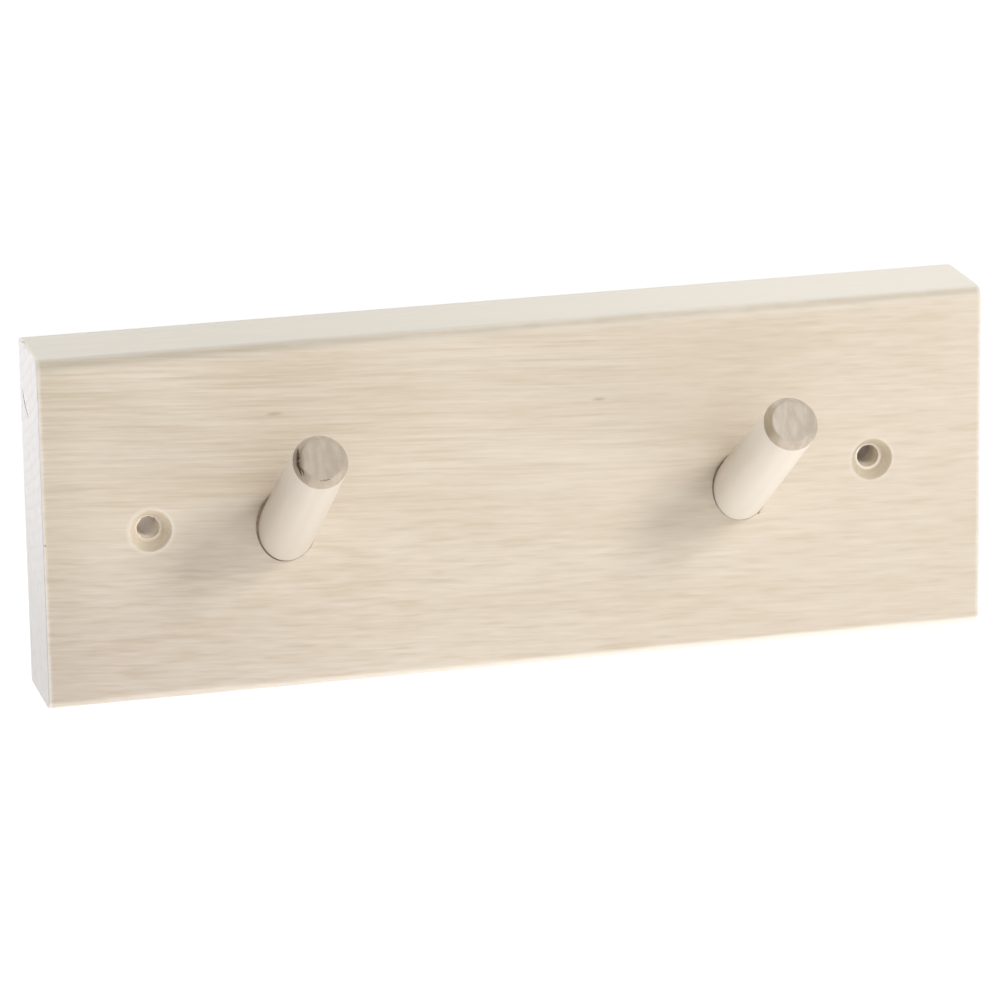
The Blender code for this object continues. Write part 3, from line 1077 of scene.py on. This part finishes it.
def peg_end(side, shade, light, pith, chamfer_left_shade, fade, stain=0.0):
    """End grain of a tip. Fade darkens its right side, and stain is how dark the crack's stain is."""
    material, t, shader = wood_material(f"{side} peg end grain", 0.75)
    place = peg_coordinates(t, peg_lines[side][0])
    ends = use_group(t, end_tree, {"Vector": place, "Pith": pith, "Ring Width": PEG_RING})
    along, right, up = axes(t, place)
    smear = stretched_noise(t, arrow(t, up, right, along), 5 * MM, 2 * MM, detail=3.0)
    colour = mixed(t, ranged(t, smear, 0.25, 0.75), shade, light)
    colour = tinted(t, colour, ranged(t, ends["Rays"], 0.52, 0.70), 0.15, (0.72, 0.65, 0.56))
    colour = tinted(t, colour, ends["Rings"], 0.10, (0.46, 0.38, 0.29))
    colour = tinted(t, colour, ends["Pores"], 0.22, (0.36, 0.28, 0.21))
    off_axis = maths(t, "SQRT", square_length(t, right, up))
    rim_edge = PEG_TIP - CHAMFER_IN
    rim = ranged(t, off_axis, rim_edge - 0.25 * MM, rim_edge + 0.15 * MM)
    underside = ranged(t, maths(t, "DIVIDE", up, off_axis), -0.30, -0.80)
    rim_tint = mixed(t, underside, (0.820, 0.810, 0.790), (0.960, 0.940, 0.920))
    colour = darkened(t, colour, rim, rim_tint)
    # Painted shade: the chamfer darker on the peg's left, the shaded side.
    leftward = ranged(t, maths(t, "DIVIDE", right, off_axis), -0.45, -0.85)
    colour = darkened(t, colour, product(t, rim, leftward), chamfer_left_shade)
    colour = darkened(t, colour, ranged(t, right, -3 * MM, 5 * MM), (fade, fade, fade))
    if stain:
        dx = maths(t, "DIVIDE", maths(t, "SUBTRACT", right, STAIN_PLACE[0]), STAIN_SIZE[0])
        dy = maths(t, "DIVIDE", maths(t, "SUBTRACT", up, STAIN_PLACE[1]), STAIN_SIZE[1])
        near_crack = ranged(t, square_length(t, dx, dy), 1.0, 0.0)
        colour = tinted(t, colour, near_crack, stain, (0.300, 0.215, 0.150))
    fill(t, shader, {"Base Color": colour, "Roughness": ranged(t, smear, 0.3, 0.7, 0.85, 0.65)})
    relief = maths(t, "SUBTRACT", smear, product(t, ends["Pores"], 0.3))
    bumped(t, shader, relief, 0.08 * MM, 0.6)
    return material


# %% [markdown]
# ## Which finish goes where
#
# A face's direction and place say how it was cut: long grain, sawn end, drilled, or the wall of a
# crack. So each face of a piece gets its finish from a rule, and none is picked by hand.

# %% Finish the board
LONG_GRAIN, SAWN_END, DRILLED, IN_CRACK, GLUED = range(5)
SKIN = 0.02 * MM
HAIRLINE_REACH = 1.5 * MM
HAIRLINE_FROM_FACES = 2 * MM
HAIRLINE_LOW = 24 * MM
HAIRLINE_HIGH = 38 * MM


def set_finishes(target, finishes, rule):
    for finish in finishes:
        target.data.materials.append(finish)
    for polygon in target.data.polygons:
        polygon.material_index = rule(polygon)
    counts = np.bincount([p.material_index for p in target.data.polygons], minlength=len(finishes))
    print(f"{target.name}:", {finish.name: int(n) for finish, n in zip(finishes, counts)})


def in_hairline(centre):
    """Whether a face's centre lies on the walls of the hairline in the left end."""
    return (
        SKIN < centre.x + board_size.x / 2 < HAIRLINE_REACH
        and HAIRLINE_LOW < centre.z < HAIRLINE_HIGH
        and FRONT + HAIRLINE_FROM_FACES < centre.y < -HAIRLINE_FROM_FACES
    )


def board_finish(polygon):
    centre, normal = polygon.center, polygon.normal
    if in_hairline(centre):
        return IN_CRACK
    if board_size.x / 2 - abs(centre.x) < ARRIS and abs(normal.x) > 0.5:
        return SAWN_END
    if FRONT + SKIN < centre.y < -SKIN:
        if any((centre.xz - at.xz).length < RIM + 0.5 * MM for at in hole_centres.values()):
            return DRILLED
        locals_of_pegs = (place.inverted() @ centre for place, _, _ in peg_lines.values())
        if any(local.xy.length < SOCKET_RADIUS + 1.0 * MM for local in locals_of_pegs):
            return GLUED
    return LONG_GRAIN


set_finishes(board, [planed, sawn, drilled, crack_shade, glue], board_finish)

# %% Finish the pegs
SIDE_GRAIN, END_GRAIN, PEG_CRACK = range(3)

peg_sides = {
    "left": peg_side("left", (0.678, 0.600, 0.506), (0.702, 0.620, 0.526)),
    "right": peg_side("right", (0.758, 0.680, 0.578), (0.780, 0.704, 0.600)),
}
peg_ends = {
    "left": peg_end(
        "left", shade=(0.520, 0.432, 0.345), light=(0.610, 0.515, 0.420),
        pith=(0, 1 * MM, -12 * MM), chamfer_left_shade=(0.900, 0.880, 0.850), fade=0.97, stain=0.75,
    ),
    "right": peg_end(
        "right", shade=(0.560, 0.475, 0.385), light=(0.690, 0.600, 0.505),
        pith=(0, -16 * MM, 4 * MM), chamfer_left_shade=(0.930, 0.890, 0.800), fade=0.91,
    ),
}


def peg_rule(side):
    """The rule for one peg: off its turned surface is crack, and what faces along it is end grain."""
    back = peg_lines[side][0].inverted()
    turn_back = back.to_3x3()

    def rule(polygon):
        centre, normal = back @ polygon.center, turn_back @ polygon.normal
        on_surface = centre.xy.length > PEG_TIP - 0.12 * MM or normal.z > 0.5 or centre.z < 0
        if not on_surface:
            return PEG_CRACK
        return END_GRAIN if normal.z > 0.35 else SIDE_GRAIN

    return rule


for side in SIDES:
    set_finishes(pegs[side], [peg_sides[side], peg_ends[side], crack_shade], peg_rule(side))

# %% [markdown]
# ## Smooth shading and the last steps
#
# A rounded edge should shine as one surface, while the big planed faces stay flat. Smooth shading
# with sharp creases does the first, and a Weighted Normal modifier lets the big faces win the second.

# %% Shade, ride and replace
SMOOTH = math.radians(32)
pieces = {"board": board, "left_peg": pegs["left"], "right_peg": pegs["right"]}
for name, made in pieces.items():
    made.data.shade_smooth()
    made.data.set_sharp_from_angle(angle=SMOOTH)
    weighted = made.modifiers.new("big faces stay flat", "WEIGHTED_NORMAL")
    weighted.keep_sharp = True
    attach(made, "root")
    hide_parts(name)
    print(f"{made.name} stands for {name}: {len(made.data.polygons)} faces")
